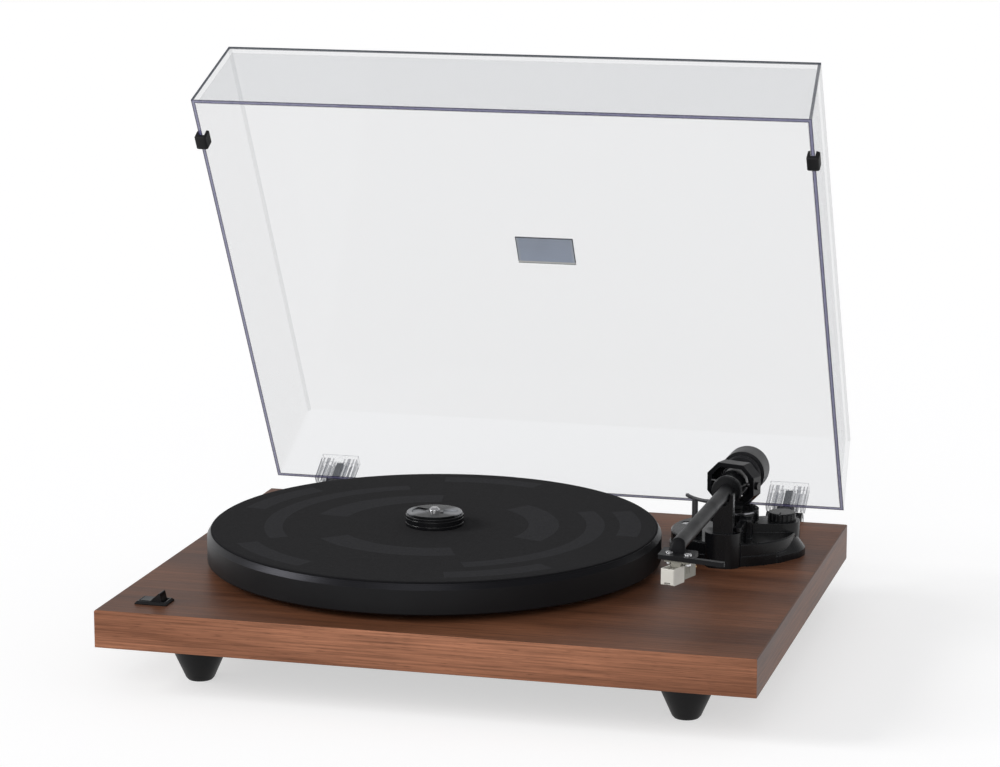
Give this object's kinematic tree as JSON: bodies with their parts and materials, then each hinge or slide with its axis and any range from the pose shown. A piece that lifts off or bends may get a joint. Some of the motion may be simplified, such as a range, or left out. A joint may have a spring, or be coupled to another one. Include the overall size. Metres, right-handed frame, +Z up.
{
  "type": "turntable",
  "caption": "Belt-driven turntable: walnut plinth on black feet, black platter with felt mat, gimbal tonearm with cartridge, clear hinged dust cover.",
  "frame": {"origin": "on the plane that the four feet stand on, below the middle of the plinth", "axes": "+X to the right of the front, +Y to the back, +Z up"},
  "size_m": [0.4208, 0.4027, 0.3829],
  "materials": {
    "walnut_veneer": "satin walnut veneer, grain from left to right",
    "foot_plastic": "satin moulded",
    "steel_screw": "zinc plated",
    "cover_board": "fine texture",
    "bearing_metal": "turned",
    "bronze": "turned",
    "polished_steel": "polished",
    "platter_metal": "satin black, bright bevel",
    "mat_felt": "felt",
    "motor_can": "plated",
    "belt_rubber": "matt",
    "black_plastic": "satin moulded",
    "adapter_metal": "turned",
    "jack_metal": "nickel plated",
    "board": "solder mask",
    "clear_acrylic": "clear, polished edges",
    "bumper_rubber": "soft",
    "badge_metal": "brushed, blank",
    "arm_black": "semi-gloss moulded",
    "tube_black": "satin black paint",
    "lift_metal": "dark satin",
    "weight_black": "gloss black",
    "cartridge_grey": "satin",
    "cartridge_cream": "satin"
  },
  "bodies": {
    "root": {"plinth": "walnut_veneer", "feet": "foot_plastic", "foot_screws": "steel_screw", "bottom_cover": "cover_board", "cover_screws": "steel_screw", "bearing_housing": "bearing_metal", "bearing_bush": "bronze", "thrust_ball": "polished_steel", "motor_body": "motor_can", "motor_bracket": "motor_can", "motor_grommets": "belt_rubber", "motor_screws": "steel_screw", "drive_belt": "belt_rubber", "rocker_housing": "black_plastic", "rear_panel": "black_plastic", "rca_jacks": "jack_metal", "ground_post": "jack_metal", "output_switch": "black_plastic", "power_inlet": "black_plastic", "circuit_board": "board", "hinge_blocks": "black_plastic", "hinge_pins": "polished_steel", "hinge_screws": "steel_screw", "tonearm_base": "arm_black", "base_screws": "steel_screw", "pivot_collar": "arm_black", "collar_trim": "adapter_metal", "arm_rest": "arm_black"},
    "platter": {"spindle": "polished_steel", "platter": "platter_metal", "platter_mat": "mat_felt"},
    "pulley": {"motor_pulley": "bronze"},
    "adapter": {"adapter_body": "black_plastic", "adapter_cap": "adapter_metal"},
    "rocker": {"power_rocker": "black_plastic"},
    "ground_nut": {"ground_nut": "jack_metal"},
    "output_switch": {"output_knob": "black_plastic"},
    "cover": {"dust_cover": "clear_acrylic", "cover_sockets": "clear_acrylic", "hinge_arms": "black_plastic", "cover_bumpers": "bumper_rubber", "cover_badge": "badge_metal"},
    "cue_lift": {"cue_lift": "lift_metal"},
    "cue_lever": {"cue_lever": "arm_black"},
    "anti_skate": {"anti_skate_knob": "arm_black"},
    "arm_yaw": {"gimbal_ring": "arm_black", "gimbal_pins": "polished_steel"},
    "arm": {"arm_housing": "arm_black", "arm_tube": "tube_black", "weight_stub": "steel_screw", "headshell": "tube_black", "cartridge_screws": "steel_screw", "cartridge_body": "cartridge_grey", "cartridge_terminals": "bronze", "stylus": "cartridge_grey"},
    "weight_sleeve": {"weight_sleeve": "black_plastic"},
    "counterweight": {"counterweight": "weight_black"},
    "force_dial": {"force_dial": "weight_black"},
    "stylus_guard": {"stylus_guard": "cartridge_cream"}
  },
  "joints": [
    {"name": "platter_spin", "type": "hinge", "parent": "root", "child": "platter", "pos_m": [-0.0375, 0, 0.074], "axis": [0, 0, -1], "continuous": true},
    {"name": "pulley_spin", "type": "hinge", "parent": "root", "child": "pulley", "pos_m": [-0.07581, -0.10525, 0.0645], "axis": [0, 0, -1], "continuous": true},
    {"name": "adapter_lift", "type": "slide", "parent": "platter", "child": "adapter", "axis": [0, 0, 1], "range_m": [0, 0.014]},
    {"name": "power_rocker_tilt", "type": "hinge", "parent": "root", "child": "rocker", "pos_m": [-0.18, -0.143, 0.053], "axis": [0, 1, 0], "range_deg": [0, 28]},
    {"name": "ground_nut_turn", "type": "hinge", "parent": "root", "child": "ground_nut", "pos_m": [0.064, 0.1735, 0.042], "axis": [0, 1, 0], "range_deg": [0, 360]},
    {"name": "output_select", "type": "slide", "parent": "root", "child": "output_switch", "axis": [1, 0, 0], "range_m": [0, 0.004]},
    {"name": "cover_hinge", "type": "hinge", "parent": "root", "child": "cover", "pos_m": [0, 0.1766, 0.0528], "axis": [-1, 0, 0], "range_deg": [-60.4, 0]},
    {"name": "cue_lever_swing", "type": "hinge", "parent": "root", "child": "cue_lever", "pos_m": [0.1582, 0.059, 0.0796], "axis": [1, 0, 0], "range_deg": [-40, 0]},
    {"name": "cue_lift_slide", "type": "slide", "parent": "root", "child": "cue_lift", "axis": [0, 0, 1], "range_m": [-0.004, 0]},
    {"name": "anti_skate_turn", "type": "hinge", "parent": "root", "child": "anti_skate", "pos_m": [0.1783, 0.0888, 0.072], "axis": [0, 0, -1], "range_deg": [0, 270]},
    {"name": "arm_swing", "type": "hinge", "parent": "root", "child": "arm_yaw", "pos_m": [0.1473, 0.079, 0.079], "axis": [0, 0, -1], "range_deg": [0, 54]},
    {"name": "arm_rise", "type": "hinge", "parent": "arm_yaw", "child": "arm", "pos_m": [0.1473, 0.079, 0.1005], "axis": [-0.9563, 0.2924, 0], "range_deg": [-2.2, 4.8]},
    {"name": "weight_travel", "type": "slide", "parent": "arm", "child": "weight_sleeve", "axis": [-0.0174, 0.9993, -0.0332], "range_m": [-0.0015, 0.0015]},
    {"name": "weight_turn", "type": "hinge", "parent": "weight_sleeve", "child": "counterweight", "pos_m": [0.14652, 0.12397, 0.09901], "axis": [-0.0174, 0.9993, -0.0332], "range_deg": [-360, 360]},
    {"name": "force_dial_turn", "type": "hinge", "parent": "counterweight", "child": "force_dial", "pos_m": [0.14678, 0.10898, 0.0995], "axis": [-0.0174, 0.9993, -0.0332], "range_deg": [-180, 180]},
    {"name": "guard_slide", "type": "slide", "parent": "arm", "child": "stylus_guard", "axis": [-0.2756, -0.9607, 0.0317], "range_m": [0, 0.015]}
  ],
  "couplings": [
    {"joint": "pulley_spin", "follows": "platter_spin", "ratio": 18},
    {"joint": "cue_lever_swing", "follows": "cue_lift_slide", "rad_per_m": 174.53},
    {"joint": "weight_travel", "follows": "weight_turn", "m_per_rad": 0.00023873}
  ]
}
